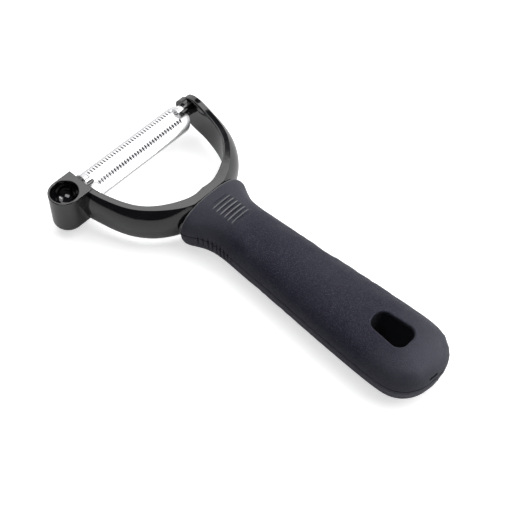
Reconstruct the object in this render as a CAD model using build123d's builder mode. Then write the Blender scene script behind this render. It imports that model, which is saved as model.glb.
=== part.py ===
from build123d import *
from math import acos, cos, degrees, pi, radians, sin, sqrt
import os

# Vegetable peeler: a soft grip moulded on a hard yoke, with a serrated blade that swivels
# between the yoke's two arms. Lengths are millimetres. X runs across the peeler, Y from the
# butt of the grip towards the blade, Z up. The origin is on the flat under the grip.

# Grip
crown_height = 22.0          # top of the grip above the surface that it rests on
rest_flat = 0.5              # taken off the underside to make the flat
grip_front = 30.5            # front face, ahead of the origin
grip_back = 88.6             # end of the butt, behind the origin
grip_width = 34.6            # widest place, just ahead of the butt
butt_round = 16.0            # length over which the butt rounds off
grip_power = 2.35            # 2 would make the cross-section an ellipse
butt_power = 2.3             # the same for the butt's outline
section_points = 16          # on each cross-section
lip_radius = 0.6             # rounded front edge

# Cross-sections of the grip: place, as a share of the way from the front face to where the
# butt starts to round off, and width, as a share of the widest width.
grip_shares = (
    (0.000, 1.000),
    (0.040, 0.995),
    (0.080, 0.860),
    (0.125, 0.770),
    (0.180, 0.750),
    (0.280, 0.775),
    (0.450, 0.835),
    (0.700, 0.935),
    (0.880, 0.990),
    (1.000, 1.000),
)
butt_shares = (0.35, 0.62, 0.82, 0.94, 0.99)   # of the rounding

# Finger ribs: grooves left between ribs on the grip's crown and on both its sides. A disc
# cuts each one, so it fades at both ends, and those at the ends of a row are shallower.
rib_pitch = 2.1
rib_groove_width = 1.05
rib_groove_depth = 0.6
crown_ribs = 7
crown_rib_setback = 12.1     # middle of the row behind the front face
crown_rib_disc = 160.0       # radius
side_ribs = 9
side_rib_setback = 16.5
side_rib_disc = 45.0

# Hanging hole
hang_margin = 14.4           # from its wide end to the end of the butt
hang_length = 17.2
hang_narrow_width = 8.6
hang_wide_width = 11.6
hang_narrow_corner = 3.8
hang_wide_corner = 4.0
hang_rim_radius = 0.7
hang_lining = 1.8            # soft material between the hole and the tang

# Yoke: tang and collar
grip_side_wall = 1.475       # at the grip's waist, least soft material beside the tang
tang_thickness = 11.0
tang_loop = 4.8              # past the hanging hole
tang_corner = 8.0
collar_step = 0.9            # collar inside the grip's front edge, all round
collar_length = 2.7          # showing ahead of the grip
collar_seat = 3.0            # inside the grip

# Yoke: arms
bridge_ahead = 4.3           # inner edge between the arms, ahead of the grip's front face
arm_past_pivot = 3.6         # tips of the arms, ahead of the pivot line
arm_below_crown = 0.1        # tops of the arms
arm_root_depth = 18.3
arm_tip_depth = 16.6
arm_root_thickness = 6.8
arm_tip_thickness = 5.7
arm_root_band = 5.4          # width of the flat top at the bridge
arm_top_band = 2.8           # the same along an arm
arm_root_share = 0.42        # of the inner edge, along which that width changes
arm_bottom_band = 3.4
arm_corner = 0.7
arm_bulge_share = 0.45       # of the depth, where an arm is thickest
tip_round = 6.6              # length over which a tip rounds off

# Inner edge of an arm seen from above, from the bridge to where the tip rounds off: shares
# of half the gap, and of the way from the bridge to the tip.
inner_edge_shares = (
    (0.00, 0.000),
    (0.24, 0.006),
    (0.53, 0.107),
    (0.68, 0.190),
    (0.80, 0.302),
    (0.88, 0.435),
    (0.935, 0.568),
    (0.975, 0.702),
    (1.00, 0.864),
)
arm_section_shares = (0.0, 0.14, 0.28, 0.42, 0.56, 0.70, 0.85, 1.0)   # along that edge
tip_shares = (0.55, 0.84, 0.965, 0.995)                               # of the rounding

# Blade: an arched strip with a slot between two toothed edges
pivot_ahead = 75.7           # pivot line, ahead of the origin
pivot_below_arm_top = 6.1    # the crown of the arch lies on the pivot line
blade_length = 57.6
blade_width = 14.6
blade_arch = 8.85            # outer radius of the arch
blade_sheet = 0.6
blade_corner = 4.3
slot_width = 5.0
tooth_pitch = 1.475
tooth_margin = 0.75          # from an end of the slot to the row of teeth
flute_radius = 0.85
flute_length = 2.35          # from the slot's edge outwards
flute_depth = 0.75           # at the slot's edge, more than the sheet is thick
cheek_radius = 2.4           # upright plate at each end of the slot
cheek_thickness = 0.8
cheek_setback = 2.9          # from the end of the blade

# Pivot pins
pin_collar = 4.8             # diameters
pin_spigot = 3.0
pin_journal = 2.0
pin_spigot_depth = 4.4       # in the arm
pin_tip = 0.9                # of the journal, past the cheek
pin_chamfer = 0.3
journal_clearance = 0.05     # radial
cheek_play = 0.2             # between a cheek and its pin's collar
window_clearance = 0.3       # radial, round the pin's collar

# Pads and stops on the arms' inner faces
pad_radius = 4.2
pad_height = 2.3             # above the inner face
pad_play = 0.3               # between a pad and the end of the blade
stop_radius = 0.85
stop_length = 3.6
stop_clearance = 0.07        # between a stop and the pin's collar
stop_gap = 0.08              # left between stop and blade at each end of the swivel
swivel = 25.0                # either way, degrees

# Potato-eye remover on the left arm
remover_rise = 0.7           # above the arms
remover_height = 18.8
remover_width = 13.8
remover_setback = 2.5        # its middle behind the pivot line
remover_inset = 0.1          # its flat side behind the arm's inner face
remover_reach = 9.0          # from its flat side to the middle of the bowl
remover_taper = 0.5          # degrees
remover_round = 3.0
remover_edge = 0.35          # rounding of its top's edges
bowl_radius = 5.9
bowl_wall = 2.2              # straight part below the rim

overrun = 1.0                # of a cut past what it cuts

grip_height = crown_height + rest_flat
grip_middle = grip_height / 2 - rest_flat
grip_run = grip_front + grip_back - butt_round
hang_wide_end = grip_back - hang_margin
hang_narrow_end = hang_wide_end - hang_length
bridge_front = grip_front + bridge_ahead
half_gap = blade_length / 2 + pad_play + pad_height
arm_reach = pivot_ahead + arm_past_pivot
arm_top = crown_height - arm_below_crown
pivot_height = arm_top - pivot_below_arm_top
pivot = Plane(origin=(0, pivot_ahead, pivot_height), x_dir=(0, 1, 0), z_dir=(1, 0, 0))


def grip_plane(ahead):
    """Upright plane across the grip at half its height, facing the blade."""
    return Plane(origin=(0, ahead, grip_middle), x_dir=(-1, 0, 0), z_dir=(0, 1, 0))


def squared_ellipse(width, height):
    """Points on a closed curve between an ellipse and a rectangle."""
    points = []
    for step in range(section_points):
        angle = 2 * pi * step / section_points
        across = abs(cos(angle)) ** (2 / grip_power)
        up = abs(sin(angle)) ** (2 / grip_power)
        points.append(
            (
                (across if cos(angle) > 0 else -across) * width / 2,
                (up if sin(angle) > 0 else -up) * height / 2,
            )
        )
    return points


def grip_section(ahead, width, height):
    """Face across the grip."""
    with BuildSketch(grip_plane(ahead)) as section:
        with BuildLine():
            Spline(squared_ellipse(width, height), periodic=True)
        make_face()
    return section.sketch


def width_at(ahead):
    """Width of the grip between two of its sections."""
    share = (grip_front - ahead) / grip_run
    for (near, near_width), (far, far_width) in zip(grip_shares, grip_shares[1:]):
        if near <= share <= far:
            part = (share - near) / (far - near)
            return grip_width * (near_width + part * (far_width - near_width))
    return grip_width


def hang_hole_outline(grow):
    """Outline of the hanging hole, larger by grow on every side."""
    narrow = hang_narrow_width / 2
    wide = hang_wide_width / 2
    with BuildSketch(Plane.XY) as outline:
        with BuildLine():
            Polyline(
                (-narrow, -hang_narrow_end),
                (narrow, -hang_narrow_end),
                (wide, -hang_wide_end),
                (-wide, -hang_wide_end),
                close=True,
            )
        make_face()
        ends = outline.vertices().group_by(Axis.Y)
        fillet(ends[0], hang_wide_corner)
        fillet(outline.vertices().group_by(Axis.Y)[-1], hang_narrow_corner)
        if grow:
            offset(amount=grow)
    return outline.sketch


def arm_section(place, direction, share, size=1):
    """Face across an arm, at a share of its length: flat inside and on top, bulging outwards.

    A size under 1 shrinks it towards its middle."""
    depth = arm_root_depth + share * (arm_tip_depth - arm_root_depth)
    thickness = arm_root_thickness + share * (arm_tip_thickness - arm_root_thickness)
    widening = max(0, 1 - share / arm_root_share)
    band = arm_top_band + widening * (arm_root_band - arm_top_band)
    inset = (1 - size) / 2
    outward = Vector(direction.Y, -direction.X, 0)
    top = Vector(place.X, place.Y, arm_top - inset * depth)
    plane = Plane(
        origin=top + outward * (inset * thickness),
        x_dir=outward,
        z_dir=direction * -1,
    )
    corner = arm_corner * size
    top_edge = band * size
    bottom_edge = arm_bottom_band * size
    bottom = -depth * size
    with BuildSketch(plane) as section:
        with BuildLine():
            TangentArc((0, -corner), (corner, 0), tangent=(0, 1))
            Line((corner, 0), (top_edge, 0))
            ThreePointArc(
                (top_edge, 0),
                (thickness * size, bottom * arm_bulge_share),
                (bottom_edge, bottom),
            )
            Line((bottom_edge, bottom), (corner, bottom))
            TangentArc((corner, bottom), (0, bottom + corner), tangent=(-1, 0))
            Line((0, bottom + corner), (0, -corner))
        make_face()
    return section.sketch


# Right arm with half of the bridge
with BuildLine() as inner_edge:
    Spline(
        [
            (across * half_gap, bridge_front + along * (arm_reach - bridge_front))
            for across, along in inner_edge_shares
        ],
        tangents=[(1, 0), (0, 1)],
    )

arm_sections = [
    arm_section(inner_edge.line @ share, inner_edge.line % share, share)
    for share in arm_section_shares
]
for share in tip_shares:
    place = Vector(half_gap, arm_reach - (1 - share) * tip_round)
    arm_sections.append(arm_section(place, Vector(0, 1, 0), 1, sqrt(1 - share**2)))

with BuildPart() as arm:
    loft(arm_sections)
    split(bisect_by=Plane.XZ.offset(-grip_front), keep=Keep.BOTTOM)

# Potato-eye remover: a half-round block with a round-bottomed bowl in its top
remover_radius = remover_width / 2
remover_place = Plane(
    origin=(
        -half_gap - remover_inset - remover_reach,
        pivot_ahead - remover_setback,
        arm_top + remover_rise,
    )
)
with BuildPart() as remover:
    with BuildSketch(remover_place):
        Circle(remover_radius)
        with Locations((remover_reach / 2, 0)):
            Rectangle(remover_reach, remover_width)
    extrude(amount=-remover_height, taper=remover_taper)
    outside = remover.edges().group_by(Axis.Z)[0].sort_by(Axis.X)[:-1]
    fillet(outside, remover_round)
    with BuildSketch(Plane(origin=remover_place.origin, x_dir=(1, 0, 0), z_dir=(0, -1, 0))):
        with BuildLine():
            Polyline(
                (0, -bowl_wall - bowl_radius),
                (0, overrun),
                (bowl_radius, overrun),
                (bowl_radius, -bowl_wall),
            )
            RadiusArc((bowl_radius, -bowl_wall), (0, -bowl_wall - bowl_radius), bowl_radius)
        make_face()
    revolve(axis=Axis(remover_place.origin, (0, 0, 1)), mode=Mode.SUBTRACT)
    fillet(remover.edges().group_by(Axis.Z)[-1], remover_edge)

# Core that the grip is moulded on: the collar, and a tang with a loop round the hanging hole
tang_front = grip_front - collar_seat
tang_end = hang_wide_end + tang_loop
tang_width = grip_width * min(width for _, width in grip_shares) - 2 * grip_side_wall
with BuildPart() as core:
    with BuildSketch(grip_plane(tang_front)):
        with BuildLine():
            Spline(
                squared_ellipse(
                    width_at(grip_front) - 2 * collar_step, grip_height - 2 * collar_step
                ),
                periodic=True,
            )
        make_face()
    extrude(amount=collar_seat + collar_length)
    with BuildSketch(Plane.XY.offset(grip_middle)):
        with Locations((0, (tang_front - tang_end) / 2)):
            RectangleRounded(tang_width, tang_front + tang_end, tang_corner)
        with Locations((0, tang_front - tang_corner)):
            Rectangle(tang_width, 2 * tang_corner)
        add(hang_hole_outline(hang_lining), mode=Mode.SUBTRACT)
    extrude(amount=tang_thickness / 2, both=True)

# Yoke: the core, both arms, the remover, and what holds the blade
pin_face = blade_length / 2 + pad_play

# One stop meets the arch of the blade from outside, the other from inside. Each lies at an
# angle from straight down, on the grip's side of the pivot.
stop_offset = pin_collar / 2 + stop_clearance + stop_radius


def stop_angle(reach):
    """Angle at the pivot between the arch's centre and a stop that far from that centre."""
    squares = stop_offset**2 + blade_arch**2 - reach**2
    return degrees(acos(squares / (2 * stop_offset * blade_arch)))


outer_stop = stop_angle(blade_arch + stop_radius + stop_gap) + swivel
inner_stop = stop_angle(blade_arch - blade_sheet - stop_radius - stop_gap) - swivel

with BuildPart() as yoke:
    add(arm.part)
    mirror(about=Plane.YZ)
    add(remover.part)
    add(core.part)

    # Pads, two stops beside each pivot, and the holes for the pins
    for side in (-1, 1):
        face = Plane(
            origin=(side * pin_face, pivot_ahead, pivot_height),
            x_dir=(0, -1, 0),
            z_dir=(side, 0, 0),
        )
        with BuildSketch(face):
            Circle(pad_radius)
        extrude(amount=half_gap - pin_face + overrun)
        for angle in (outer_stop, inner_stop):
            across = stop_offset * sin(radians(angle))
            down = side * stop_offset * cos(radians(angle))
            place = face.from_local_coords((across, down, stop_radius - stop_length))
            with Locations(place):
                Sphere(stop_radius)
            with BuildSketch(Plane(origin=place, z_dir=(side, 0, 0))):
                Circle(stop_radius)
            extrude(amount=stop_length - stop_radius + pad_play)
        with BuildSketch(face):
            Circle(pin_spigot / 2)
        extrude(amount=pin_spigot_depth, mode=Mode.SUBTRACT)


def groove_row(count, middle, disc):
    """Place of each groove ahead of the origin, and how far out of the surface its disc lies."""
    row = []
    for index in range(count):
        share = (2 * index + 1) / count - 1
        ahead = middle + share * count * rib_pitch / 2
        row.append((ahead, disc - rib_groove_depth * sqrt(1 - share**2)))
    return row


# Grooves between the finger ribs
with BuildPart() as rib_grooves:
    for ahead, out in groove_row(crown_ribs, grip_front - crown_rib_setback, crown_rib_disc):
        with Locations((0, ahead, crown_height + out)):
            Cylinder(crown_rib_disc, rib_groove_width, rotation=(90, 0, 0))
    for ahead, out in groove_row(side_ribs, grip_front - side_rib_setback, side_rib_disc):
        side_out = width_at(ahead) / 2 + out
        with Locations((-side_out, ahead, grip_middle), (side_out, ahead, grip_middle)):
            Cylinder(side_rib_disc, rib_groove_width, rotation=(90, 0, 0))

# Grip
with BuildPart() as grip:
    sections = [
        grip_section(grip_front - share * grip_run, grip_width * width, grip_height)
        for share, width in grip_shares
    ]
    for share in butt_shares:
        size = (1 - share**butt_power) ** (1 / butt_power)
        ahead = butt_round * (1 - share) - grip_back
        sections.append(grip_section(ahead, grip_width * size, grip_height * size))
    loft(sections + [Vertex(0, -grip_back, grip_middle)])
    with BuildSketch(Plane.XY.offset(-overrun)):
        add(hang_hole_outline(0))
    extrude(amount=grip_height + 2 * overrun, mode=Mode.SUBTRACT)
    rims = grip.faces().sort_by(SortBy.AREA)[-1].inner_wires()
    fillet([edge for rim in rims for edge in rim.edges()], hang_rim_radius)
    split(bisect_by=Plane.XY, keep=Keep.TOP)
    fillet(grip.edges().group_by(Axis.Y)[-1], lip_radius)
    add(rib_grooves.part, mode=Mode.SUBTRACT)
    add(core.part, mode=Mode.SUBTRACT)

# Blade: arched strip with a slot, and an upright cheek at each end of the slot
cheek_outside = blade_length / 2 - cheek_setback
slot_length = 2 * (cheek_outside - cheek_thickness)
tooth_row = slot_length - 2 * tooth_margin
window = pin_collar / 2 + window_clearance

# A flute is cut by a round bar laid across the slot's edge. The lowest line of the bar runs
# from low, under the edge, to high, on top of the arch.
edge_drop = blade_arch - sqrt(blade_arch**2 - (slot_width / 2) ** 2)
flute_end = slot_width / 2 + flute_length
end_drop = blade_arch - sqrt(blade_arch**2 - flute_end**2)
low = Vector(0, slot_width / 2, -edge_drop - flute_depth)
high = Vector(0, flute_end, -end_drop)
along = (high - low).normalized()
bar_middle = (low + high) / 2 + Vector(1, 0, 0).cross(along) * flute_radius
teeth = round(tooth_row / tooth_pitch)
flutes = [
    Plane(
        origin=pivot.origin + Vector(index * tooth_pitch, side * bar_middle.Y, bar_middle.Z),
        z_dir=(0, side * along.Y, along.Z),
    )
    for index in (tooth - (teeth - 1) / 2 for tooth in range(teeth))
    for side in (-1, 1)
]

with BuildPart() as blade:
    with BuildSketch(pivot):
        with Locations((0, -blade_arch)):
            Circle(blade_arch)
            Circle(blade_arch - blade_sheet, mode=Mode.SUBTRACT)
        with Locations((0, -2 * blade_arch)):
            Rectangle(2 * blade_arch, 2 * blade_arch, mode=Mode.SUBTRACT)
    extrude(amount=blade_length / 2, both=True)
    with BuildSketch(Plane(origin=pivot.origin)):
        RectangleRounded(blade_length, blade_width, blade_corner)
    extrude(amount=-blade_arch, mode=Mode.INTERSECT)
    for side in (-1, 1):
        with BuildSketch(pivot.offset(side * slot_length / 2)):
            Circle(cheek_radius)
        extrude(amount=side * cheek_thickness)
    with BuildSketch(Plane(origin=pivot.origin)):
        Rectangle(slot_length, slot_width)
        for side in (-1, 1):
            with Locations((side * (cheek_outside + blade_length / 2), 0)):
                Rectangle(blade_length, 2 * window)
    extrude(amount=-blade_arch, mode=Mode.SUBTRACT)
    with BuildSketch(pivot.offset(-blade_length / 2)):
        Circle(pin_journal / 2 + journal_clearance)
    extrude(amount=blade_length, mode=Mode.SUBTRACT)
    with Locations(flutes):
        Cylinder(flute_radius, flute_length + 2 * overrun, mode=Mode.SUBTRACT)

# Pivot pins: a collar, a spigot in the arm and a journal through the blade's cheek
journal_end = slot_length / 2 - pin_tip
collar_end = cheek_outside + cheek_play
spigot_end = pin_face + pin_spigot_depth
with BuildPart() as pivot_pin_right:
    with BuildSketch(Plane.XY.offset(pivot_height)):
        with BuildLine():
            Polyline(
                (journal_end, pivot_ahead),
                (journal_end, pivot_ahead + pin_journal / 2 - pin_chamfer),
                (journal_end + pin_chamfer, pivot_ahead + pin_journal / 2),
                (collar_end, pivot_ahead + pin_journal / 2),
                (collar_end, pivot_ahead + pin_collar / 2),
                (pin_face, pivot_ahead + pin_collar / 2),
                (pin_face, pivot_ahead + pin_spigot / 2),
                (spigot_end, pivot_ahead + pin_spigot / 2),
                (spigot_end, pivot_ahead),
                close=True,
            )
        make_face()
    revolve(axis=Axis(pivot.origin, (1, 0, 0)))

with BuildPart() as pivot_pin_left:
    mirror(pivot_pin_right.part, about=Plane.YZ)

yoke.part.label = "yoke"
grip.part.label = "grip"
blade.part.label = "blade"
pivot_pin_left.part.label = "pivot_pin_left"
pivot_pin_right.part.label = "pivot_pin_right"

os.makedirs("parts", exist_ok=True)
export_step(yoke.part, "parts/yoke.step")
export_step(grip.part, "parts/grip.step")
export_step(blade.part, "parts/blade.step")
export_step(pivot_pin_left.part, "parts/pivot_pin_left.step")
export_step(pivot_pin_right.part, "parts/pivot_pin_right.step")
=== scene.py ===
import math

import bpy
from mathutils import Matrix, Vector

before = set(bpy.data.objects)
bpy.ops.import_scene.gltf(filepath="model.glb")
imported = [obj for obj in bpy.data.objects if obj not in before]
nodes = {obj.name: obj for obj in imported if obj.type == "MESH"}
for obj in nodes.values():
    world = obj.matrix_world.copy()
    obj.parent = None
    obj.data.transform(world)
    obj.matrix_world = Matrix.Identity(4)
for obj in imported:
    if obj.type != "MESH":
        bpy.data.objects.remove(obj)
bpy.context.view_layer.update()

# Yoke: one moulding of hard black plastic with both arms, the remover's bowl, the pads and a tang
# that the grip hides. Its mould is polished, so the skin has only a faint waviness, and handling
# has dulled it in patches.
yoke_black = (0.003, 0.0029, 0.0037, 1)
yoke_scuffed = (0.012, 0.012, 0.014, 1)
yoke_roughness, yoke_scuffed_roughness = 0.07, 0.22
yoke_mirror = 0.72
yoke_wear_size, yoke_wear_amount = 60, 0.35
yoke_wave_size, yoke_wave_pits = 420, 0.1
yoke_wave_strength, yoke_wave_depth = 0.05, 0.0002
grain_detail = 3
wear_detail, wear_roughness = 5, 0.65
wear_from, wear_to = 0.45, 0.75


def new_effect(name, inputs, outputs):
    """An empty shared effect, with the numbers that go into it and come out."""
    effect = bpy.data.node_groups.new(name, "ShaderNodeTree")
    for socket in inputs:
        effect.interface.new_socket(socket, in_out="INPUT", socket_type="NodeSocketFloat")
    for socket in outputs:
        effect.interface.new_socket(socket, in_out="OUTPUT", socket_type="NodeSocketFloat")
    return effect


def arithmetic(tree, operation, *values):
    """The result of one sum on numbers or on other results."""
    step = tree.nodes.new("ShaderNodeMath")
    step.operation = operation
    for n, value in enumerate(values):
        if isinstance(value, (int, float)):
            step.inputs[n].default_value = value
        else:
            tree.links.new(value, step.inputs[n])
    return step.outputs[0]


def noise(tree, place, size, detail):
    """The node that makes a soft random pattern over a place."""
    pattern = tree.nodes.new("ShaderNodeTexNoise")
    pattern.inputs["Detail"].default_value = detail
    tree.links.new(place, pattern.inputs["Vector"])
    tree.links.new(size, pattern.inputs["Scale"])
    return pattern


# Fine grain: soft bumps with small pits in them.
grain = new_effect("fine grain", ("Size", "Roughening"), ("Height",))
grain_in = grain.nodes.new("NodeGroupInput").outputs
grain_out = grain.nodes.new("NodeGroupOutput").inputs
grain_place = grain.nodes.new("ShaderNodeTexCoord").outputs["Object"]
bumps = noise(grain, grain_place, grain_in["Size"], grain_detail)
pits = grain.nodes.new("ShaderNodeTexVoronoi")
grain.links.new(grain_place, pits.inputs["Vector"])
grain.links.new(grain_in["Size"], pits.inputs["Scale"])
pitted = arithmetic(
    grain, "MULTIPLY_ADD", pits.outputs["Distance"], grain_in["Roughening"], bumps.outputs["Fac"]
)
grain.links.new(pitted, grain_out["Height"])

# Handling wear: a mask that gathers in patches.
wear = new_effect("handling wear", ("Patch size", "Amount"), ("Mask",))
wear_in = wear.nodes.new("NodeGroupInput").outputs
wear_out = wear.nodes.new("NodeGroupOutput").inputs
wear_place = wear.nodes.new("ShaderNodeTexCoord").outputs["Object"]
patches = noise(wear, wear_place, wear_in["Patch size"], wear_detail)
patches.inputs["Roughness"].default_value = wear_roughness
worn = wear.nodes.new("ShaderNodeMapRange")
worn.inputs["From Min"].default_value = wear_from
worn.inputs["From Max"].default_value = wear_to
wear.links.new(patches.outputs["Fac"], worn.inputs["Value"])
wear.links.new(
    arithmetic(wear, "MULTIPLY", worn.outputs["Result"], wear_in["Amount"]), wear_out["Mask"]
)


def new_finish(name):
    """An empty material, its node tree and the shader that it ends in."""
    finish = bpy.data.materials.new(name)
    finish.use_nodes = True
    return finish, finish.node_tree, finish.node_tree.nodes["Principled BSDF"]


def place_effect(tree, effect, **values):
    """The outputs of a shared effect, used once with its own values."""
    used = tree.nodes.new("ShaderNodeGroup")
    used.node_tree = effect
    for socket, value in values.items():
        used.inputs[socket.replace("_", " ")].default_value = value
    return used.outputs


def mask_between(tree, mask, low, high):
    """A number that goes from low to high as the mask goes from 0 to 1."""
    ramp = tree.nodes.new("ShaderNodeMapRange")
    ramp.inputs["To Min"].default_value = low
    ramp.inputs["To Max"].default_value = high
    tree.links.new(mask, ramp.inputs["Value"])
    return ramp.outputs["Result"]


def tint_between(tree, mask, low, high):
    """A colour that goes from low to high as the mask goes from 0 to 1."""
    mix = tree.nodes.new("ShaderNodeMix")
    mix.data_type = "RGBA"
    mix.inputs["A"].default_value = low
    mix.inputs["B"].default_value = high
    tree.links.new(mask, mix.inputs["Factor"])
    return mix.outputs["Result"]


def relief(tree, height, strength, depth):
    """A bump from a height, in metres of depth."""
    bump = tree.nodes.new("ShaderNodeBump")
    bump.inputs["Strength"].default_value = strength
    bump.inputs["Distance"].default_value = depth
    tree.links.new(height, bump.inputs["Height"])
    return bump.outputs["Normal"]


def apply_look(tree, shader, colour, roughness, normal):
    """Give a shader what varies over the surface."""
    tree.links.new(colour, shader.inputs["Base Color"])
    tree.links.new(roughness, shader.inputs["Roughness"])
    tree.links.new(normal, shader.inputs["Normal"])


def dress(node, finish):
    """Put a finish on a piece."""
    nodes[node].data.materials.clear()
    nodes[node].data.materials.append(finish)


yoke_finish, made, shader = new_finish("glossy black moulding")
shader.inputs["Specular IOR Level"].default_value = yoke_mirror
handled = place_effect(made, wear, Patch_size=yoke_wear_size, Amount=yoke_wear_amount)["Mask"]
wave = place_effect(made, grain, Size=yoke_wave_size, Roughening=yoke_wave_pits)["Height"]
apply_look(
    made,
    shader,
    tint_between(made, handled, yoke_black, yoke_scuffed),
    mask_between(made, handled, yoke_roughness, yoke_scuffed_roughness),
    relief(made, wave, yoke_wave_strength, yoke_wave_depth),
)
dress("yoke", yoke_finish)

# Grip: soft matt elastomer moulded over the yoke's tang, dark grey with a blue cast. Its mould is
# spark-textured, which gives the fine grain, and its two halves leave a line and a nick. A pale
# highlight is painted along the lip and the ribs' crests, the grip turns paler towards both ends,
# and painted shade darkens the hole's wall.
grip_navy = (0.006, 0.005, 0.015, 1)
# Paler grey, used for the random dust patches and for both ends.
grip_pale = (0.038, 0.039, 0.048, 1)
grip_speck = (0.055, 0.055, 0.065, 1)
# Painted highlight: a pale colour laid on the lip and the ribs' crests.
grip_painted_highlight = (0.2, 0.2, 0.195, 1)
# Painted shade for the hole's wall, also the colour of the dark parting line and nick.
hole_shade_and_line_dark = (0.0006, 0.0006, 0.0008, 1)
grip_mirror, grip_mirror_tint = 0.33, (0.78, 0.8, 1, 1)
grip_roughness, grip_dusty_roughness, sunk_roughening = 0.52, 0.62, 0.4
grip_wear_size, grip_wear_amount = 38, 1.0
grip_grain_size, grip_grain_pits = 2900, 0.3
grip_grain_strength, grip_grain_depth = 0.5, 0.0003
patch_share, paler_end_share, speck_share, lip_share = 0.45, 0.75, 0.6, 0.85
speck_from, speck_to = 0.62, 0.86
lip_from, lip_to = 0.0296, 0.0301
crest_first, crest_pitch, crest_middle = 0.01315, 0.0021, 0.0184
crest_half_width, crest_edge = 0.00022, 0.6
crest_length_ends, crest_row_ends = (0.0055, 0.004125), (0.0078, 0.0039)
crest_above, crest_full = 0.0205, 0.0209
# Where the grip turns paler towards the front and towards the butt.
pale_front_from, pale_front_to = 0.004, 0.022
pale_butt_from, pale_butt_to = -0.06, -0.084
parting_height, parting_half, parting_edge = 0.0123, 0.00022, 0.5
nick_middle, nick_half_size, nick_edge = (-0.0018, -0.0878, 0.0143), (0.0021, 0.003, 0.0005), 0.3
hole_back, hole_front = -0.0748, -0.0565
hole_back_half, hole_front_half = 0.0062, 0.0047
hole_top, hole_deep = 0.0211, 0.0195


def fade(tree, value, start, end):
    """A number that goes from 0 at start to 1 at end, and stays there."""
    ramp = tree.nodes.new("ShaderNodeMapRange")
    ramp.interpolation_type = "SMOOTHSTEP"
    ramp.inputs["From Min"].default_value = start
    ramp.inputs["From Max"].default_value = end
    tree.links.new(value, ramp.inputs["Value"])
    return ramp.outputs["Result"]


def product(tree, first, *others):
    """Several masks multiplied together."""
    for other in others:
        first = arithmetic(tree, "MULTIPLY", first, other)
    return first


def off_from(tree, place, middle):
    """How far a place is from a middle, to either side."""
    return arithmetic(tree, "ABSOLUTE", arithmetic(tree, "SUBTRACT", place, middle))


def within(tree, off, half, edge):
    """1 closer than half and 0 farther, with an edge that is a share of half on each side."""
    return fade(tree, off, half * (1 + edge), half * (1 - edge))


def tint_over(tree, under, mask, over):
    """A colour laid over another where the mask is 1."""
    mix = tree.nodes.new("ShaderNodeMix")
    mix.data_type = "RGBA"
    mix.inputs["B"].default_value = over
    tree.links.new(under, mix.inputs["A"])
    tree.links.new(mask, mix.inputs["Factor"])
    return mix.outputs["Result"]


marks = new_effect("grip marks", (), ("Painted highlight", "Painted hole shade", "Line", "Paler end"))
marks_out = marks.nodes.new("NodeGroupOutput").inputs
apart = marks.nodes.new("ShaderNodeSeparateXYZ")
marks.links.new(marks.nodes.new("ShaderNodeTexCoord").outputs["Object"], apart.inputs["Vector"])
across, along, up = apart.outputs["X"], apart.outputs["Y"], apart.outputs["Z"]
off_middle = arithmetic(marks, "ABSOLUTE", across)

phase = arithmetic(marks, "SUBTRACT", along, crest_first)
wrapped = arithmetic(marks, "WRAP", phase, crest_pitch / 2, -crest_pitch / 2)
off_row = off_from(marks, along, crest_middle)
# The ribs' crests, where the painted highlight lies.
crest = product(
    marks,
    within(marks, arithmetic(marks, "ABSOLUTE", wrapped), crest_half_width, crest_edge),
    fade(marks, off_row, *crest_row_ends),
    fade(marks, off_middle, *crest_length_ends),
    fade(marks, up, crest_above, crest_full),
)
# The front lip, where the painted highlight lies along its fillet.
lip = arithmetic(marks, "MULTIPLY", fade(marks, along, lip_from, lip_to), lip_share)
marks.links.new(arithmetic(marks, "MAXIMUM", lip, crest), marks_out["Painted highlight"])

# Paler towards the front and the butt.
paler_front = fade(marks, along, pale_front_from, pale_front_to)
paler_butt = fade(marks, along, pale_butt_from, pale_butt_to)
marks.links.new(arithmetic(marks, "MAXIMUM", paler_front, paler_butt), marks_out["Paler end"])

hole_half = marks.nodes.new("ShaderNodeMapRange")
hole_half.inputs["From Min"].default_value = hole_back
hole_half.inputs["From Max"].default_value = hole_front
hole_half.inputs["To Min"].default_value = hole_back_half
hole_half.inputs["To Max"].default_value = hole_front_half
marks.links.new(along, hole_half.inputs["Value"])
# Painted shade inside the hole, darkening with depth below its rim.
hole_shade_mask = product(
    marks,
    arithmetic(marks, "LESS_THAN", off_middle, hole_half.outputs["Result"]),
    arithmetic(marks, "GREATER_THAN", along, hole_back),
    arithmetic(marks, "LESS_THAN", along, hole_front),
    fade(marks, up, hole_top, hole_deep),
)
marks.links.new(hole_shade_mask, marks_out["Painted hole shade"])

off_parting = off_from(marks, up, parting_height)
outside = arithmetic(marks, "SUBTRACT", 1.0, hole_shade_mask)
parting = product(marks, within(marks, off_parting, parting_half, parting_edge), outside)
nick = product(
    marks,
    *(
        within(marks, off_from(marks, place, middle), half, nick_edge)
        for place, middle, half in zip((across, along, up), nick_middle, nick_half_size)
    ),
)
marks.links.new(arithmetic(marks, "MAXIMUM", parting, nick), marks_out["Line"])

grip_finish, made, shader = new_finish("soft matt grip")
shader.inputs["Specular IOR Level"].default_value = grip_mirror
shader.inputs["Specular Tint"].default_value = grip_mirror_tint
dust = place_effect(made, wear, Patch_size=grip_wear_size, Amount=grip_wear_amount)["Mask"]
skin = place_effect(made, grain, Size=grip_grain_size, Roughening=grip_grain_pits)["Height"]
marked = place_effect(made, marks)
patchy = arithmetic(made, "MULTIPLY", dust, patch_share)
paler_end = arithmetic(made, "MULTIPLY", marked["Paler end"], paler_end_share)
specks = arithmetic(made, "MULTIPLY", fade(made, skin, speck_from, speck_to), speck_share)
colour = tint_between(made, arithmetic(made, "ADD", patchy, paler_end), grip_navy, grip_pale)
colour = tint_over(made, colour, specks, grip_speck)
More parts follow.
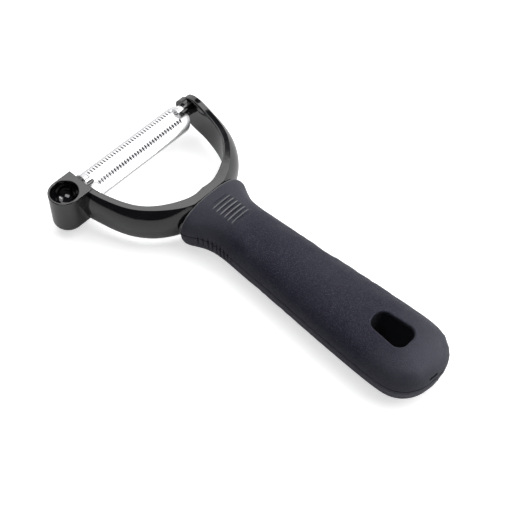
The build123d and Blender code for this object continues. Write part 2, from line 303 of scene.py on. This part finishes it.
# Painted highlight on the lip and the crests.
colour = tint_over(made, colour, marked["Painted highlight"], grip_painted_highlight)
colour = tint_over(made, colour, marked["Line"], hole_shade_and_line_dark)
# Painted shade on the hole's wall.
colour = tint_over(made, colour, marked["Painted hole shade"], hole_shade_and_line_dark)
sunk = arithmetic(made, "MAXIMUM", marked["Painted hole shade"], marked["Line"])
roughness = arithmetic(
    made,
    "ADD",
    mask_between(made, dust, grip_roughness, grip_dusty_roughness),
    arithmetic(made, "MULTIPLY", sunk, sunk_roughening),
)
height = arithmetic(made, "SUBTRACT", skin, marked["Line"])
normal = relief(made, height, grip_grain_strength, grip_grain_depth)
apply_look(made, shader, colour, roughness, normal)
dress("grip", grip_finish)

# Blade: stainless strip, pressed to an arch, with a slot and an upright cheek at each end of it.
# The strip is satin, with fine lines along it from the rolling. The flutes that make its teeth
# are ground across the slot's edges afterwards, down from the top, and come out brighter.
steel_bright = (0.72, 0.72, 0.73, 1)
steel_smudged = (0.65, 0.65, 0.66, 1)
steel_metal = 1
sheet_roughness, sheet_smudged_roughness, ground_smoothing = 0.36, 0.42, 0.24
smudge_size, smudge_amount = 120, 0.5
rolling_stretch = (30, 2500, 2500)
rolling_strength, rolling_depth = 0.05, 0.00002
arch_along, arch_height, arch_radius = 0.0757, 0.00695, 0.00885
ground_below, ground_reach = 0.00002, 0.005

blade_finish, made, shader = new_finish("satin stainless strip")
shader.inputs["Metallic"].default_value = steel_metal
smudge = place_effect(made, wear, Patch_size=smudge_size, Amount=smudge_amount)["Mask"]
place = made.nodes.new("ShaderNodeTexCoord").outputs["Object"]
stretch = made.nodes.new("ShaderNodeMapping")
stretch.inputs["Scale"].default_value = rolling_stretch
rolling = made.nodes.new("ShaderNodeTexNoise")
rolling.inputs["Scale"].default_value = 1
made.links.new(place, stretch.inputs["Vector"])
made.links.new(stretch.outputs["Vector"], rolling.inputs["Vector"])

apart = made.nodes.new("ShaderNodeSeparateXYZ")
made.links.new(place, apart.inputs["Vector"])
off_ridge = arithmetic(made, "SUBTRACT", apart.outputs["Y"], arch_along)
rise = arithmetic(made, "SUBTRACT", apart.outputs["Z"], arch_height)
squares = (arithmetic(made, "POWER", off_ridge, 2.0), arithmetic(made, "POWER", rise, 2.0))
out = arithmetic(made, "SQRT", arithmetic(made, "ADD", *squares))
below_skin = arithmetic(made, "LESS_THAN", out, arch_radius - ground_below)
off_slot = arithmetic(made, "ABSOLUTE", off_ridge)
near_slot = arithmetic(made, "LESS_THAN", off_slot, ground_reach)
ground = arithmetic(made, "MULTIPLY", below_skin, near_slot)
apply_look(
    made,
    shader,
    tint_between(made, smudge, steel_bright, steel_smudged),
    arithmetic(
        made,
        "SUBTRACT",
        mask_between(made, smudge, sheet_roughness, sheet_smudged_roughness),
        arithmetic(made, "MULTIPLY", ground, ground_smoothing),
    ),
    relief(made, rolling.outputs["Fac"], rolling_strength, rolling_depth),
)
dress("blade", blade_finish)

# Pivot pins: two turned steel pins, pressed into the arms by their spigots, with the blade's
# cheeks turning on their journals. The tool leaves fine rings round them.
pin_roughness, pin_rubbed_roughness = 0.14, 0.3
pin_rub_size, pin_rub_amount = 400, 0.5
ring_size, ring_strength, ring_depth = 900, 0.1, 0.00002

pin_finish, made, shader = new_finish("turned steel")
shader.inputs["Metallic"].default_value = steel_metal
rubbed = place_effect(made, wear, Patch_size=pin_rub_size, Amount=pin_rub_amount)["Mask"]
rings = made.nodes.new("ShaderNodeTexWave")
rings.bands_direction = "X"
rings.inputs["Scale"].default_value = ring_size
made.links.new(made.nodes.new("ShaderNodeTexCoord").outputs["Object"], rings.inputs["Vector"])
apply_look(
    made,
    shader,
    tint_between(made, rubbed, steel_bright, steel_smudged),
    mask_between(made, rubbed, pin_roughness, pin_rubbed_roughness),
    relief(made, rings.outputs["Fac"], ring_strength, ring_depth),
)
for pin in ("pivot_pin_left", "pivot_pin_right"):
    dress(pin, pin_finish)

# Floor: a pale table that runs far enough to fill the view. It looks white to the camera and
# faintly so in the gloss, more so far out where the screen's foot stands, and still takes the
# shadow. It lies a tenth of a millimetre below the peeler's flat.
floor_size, floor_drop = 6.0, 0.0001
floor_white = (0.8, 0.8, 0.8, 1)
floor_roughness, floor_mirror = 0.9, 0.1
floor_glow, floor_glow_far = 0.65, 0.4
floor_far_from, floor_far_to = 0.4, 1.2
floor_glow_in_gloss = 0.1
plain_white, plain_black = (1, 1, 1, 1), (0, 0, 0, 1)

bpy.ops.mesh.primitive_grid_add(x_subdivisions=2, y_subdivisions=2, size=floor_size)
floor = bpy.context.object
floor.name = "floor"
floor.location.z = -floor_drop
floor_finish, made, shader = new_finish("white table")
shader.inputs["Base Color"].default_value = floor_white
shader.inputs["Roughness"].default_value = floor_roughness
shader.inputs["Specular IOR Level"].default_value = floor_mirror
shader.inputs["Emission Color"].default_value = plain_white
ray = made.nodes.new("ShaderNodeLightPath").outputs
reach = made.nodes.new("ShaderNodeVectorMath")
reach.operation = "LENGTH"
made.links.new(made.nodes.new("ShaderNodeTexCoord").outputs["Object"], reach.inputs[0])
far_out = fade(made, reach.outputs["Value"], floor_far_from, floor_far_to)
glow = arithmetic(made, "ADD", arithmetic(made, "MULTIPLY", far_out, floor_glow_far), floor_glow)
seen = arithmetic(made, "MULTIPLY", ray["Is Camera Ray"], glow)
mirrored = arithmetic(made, "MULTIPLY", ray["Is Glossy Ray"], floor_glow_in_gloss)
made.links.new(arithmetic(made, "ADD", seen, mirrored), shader.inputs["Emission Strength"])
floor.data.materials.append(floor_finish)

# Backdrop: a white paper screen that stands round the far and right sides of the table, out of
# the camera's view. The steel and the glossy yoke mirror it.
screen_radius = 1.5
screen_panels = ((-25, 38, 1.38), (38, 178, 0.75))
screen_glow_in_gloss = 1.6
screen_steps = 14

corners = []
panes = []
for start, end, height in screen_panels:
    for n in range(screen_steps + 1):
        turn = math.radians(start + (end - start) * n / screen_steps)
        if n > 0:
            last = len(corners)
            panes.append((last - 2, last, last + 1, last - 1))
        for level in (0, height):
            corners.append((screen_radius * math.sin(turn), screen_radius * math.cos(turn), level))
screen_mesh = bpy.data.meshes.new("screen")
screen_mesh.from_pydata(corners, [], panes)
screen = bpy.data.objects.new("screen", screen_mesh)
bpy.context.scene.collection.objects.link(screen)
screen_finish, made, shader = new_finish("white screen")
shader.inputs["Base Color"].default_value = plain_black
shader.inputs["Roughness"].default_value = 1
shader.inputs["Emission Color"].default_value = plain_white
ray = made.nodes.new("ShaderNodeLightPath").outputs
mirrored = arithmetic(made, "MULTIPLY", ray["Is Glossy Ray"], screen_glow_in_gloss)
made.links.new(
    arithmetic(made, "ADD", ray["Is Camera Ray"], mirrored), shader.inputs["Emission Strength"]
)
screen_mesh.materials.append(screen_finish)

# Light: a long softbox beyond the head, a tall one on the right, a fill overhead and a dim room
# that looks white to the camera. A window on the left and a strip on the right add the two
# highlights in the remover's bowl.
room_dim = (0.07, 0.07, 0.08, 1)
light_aim = Vector((0, 0, 0.011))
# Each lamp: azimuth from +Y towards +X, elevation, distance, width, height and brightness,
# whether gloss mirrors it, and whether it lights matt surfaces.
lamps = (
    ("softbox_back", 47, 57.3, 1.0, 1.2, 0.34, 2.6, True, True),
    ("softbox_right", 138, 40, 1.1, 0.8, 1.3, 2.6, True, True),
    ("fill_over", 47, 80, 1.2, 1.2, 1.2, 1.7, False, True),
    ("window_left", -110, 54, 1.0, 0.6, 0.36, 4.2, True, False),
    ("strip_right", 150, 38, 1.0, 0.16, 0.9, 7.5, True, False),
)


def direction(azimuth, elevation):
    """The direction from the peeler at those degrees, azimuth from +Y towards +X."""
    turn, tilt = math.radians(azimuth), math.radians(elevation)
    return Vector(
        (math.sin(turn) * math.cos(tilt), math.cos(turn) * math.cos(tilt), math.sin(tilt))
    )


room = bpy.data.worlds.new("studio")
bpy.context.scene.world = room
room.use_nodes = True
made = room.node_tree
ray = made.nodes.new("ShaderNodeLightPath").outputs
shown = tint_between(made, ray["Is Camera Ray"], room_dim, plain_white)
made.links.new(shown, made.nodes["Background"].inputs["Color"])

for name, azimuth, elevation, distance, width, height, brightness, in_gloss, on_matt in lamps:
    lamp = bpy.data.lights.new(name, "AREA")
    lamp.shape = "RECTANGLE"
    lamp.size = width
    lamp.size_y = height
    lamp.energy = brightness * math.pi * width * height
    holder = bpy.data.objects.new(name, lamp)
    bpy.context.scene.collection.objects.link(holder)
    holder.visible_glossy = in_gloss
    holder.visible_diffuse = on_matt
    towards = direction(azimuth, elevation)
    holder.location = light_aim + towards * distance
    holder.rotation_euler = towards.to_track_quat("Z", "Y").to_euler()

# Camera: behind the butt and to its left, looking well down, with a short telephoto lens.
camera_aim = Vector((-0.007563, -0.002625, 0.016562))
camera_azimuth, camera_elevation, camera_distance = 226.87, 53.37, 0.494534
camera_roll = math.radians(0.10)
lens_length, lens_sensor, lens_near = 87.72, 36, 0.01

lens = bpy.data.cameras.new("camera")
lens.sensor_fit = "HORIZONTAL"
lens.sensor_width = lens_sensor
lens.lens = lens_length
lens.clip_start = lens_near
camera = bpy.data.objects.new("camera", lens)
bpy.context.scene.collection.objects.link(camera)
back = direction(camera_azimuth, camera_elevation)
level = back.to_track_quat("Z", "Y").to_matrix()
camera.location = camera_aim + back * camera_distance
camera.rotation_euler = (level @ Matrix.Rotation(camera_roll, 3, "Z")).to_euler()
bpy.context.scene.camera = camera
bpy.context.scene.view_settings.view_transform = "Standard"
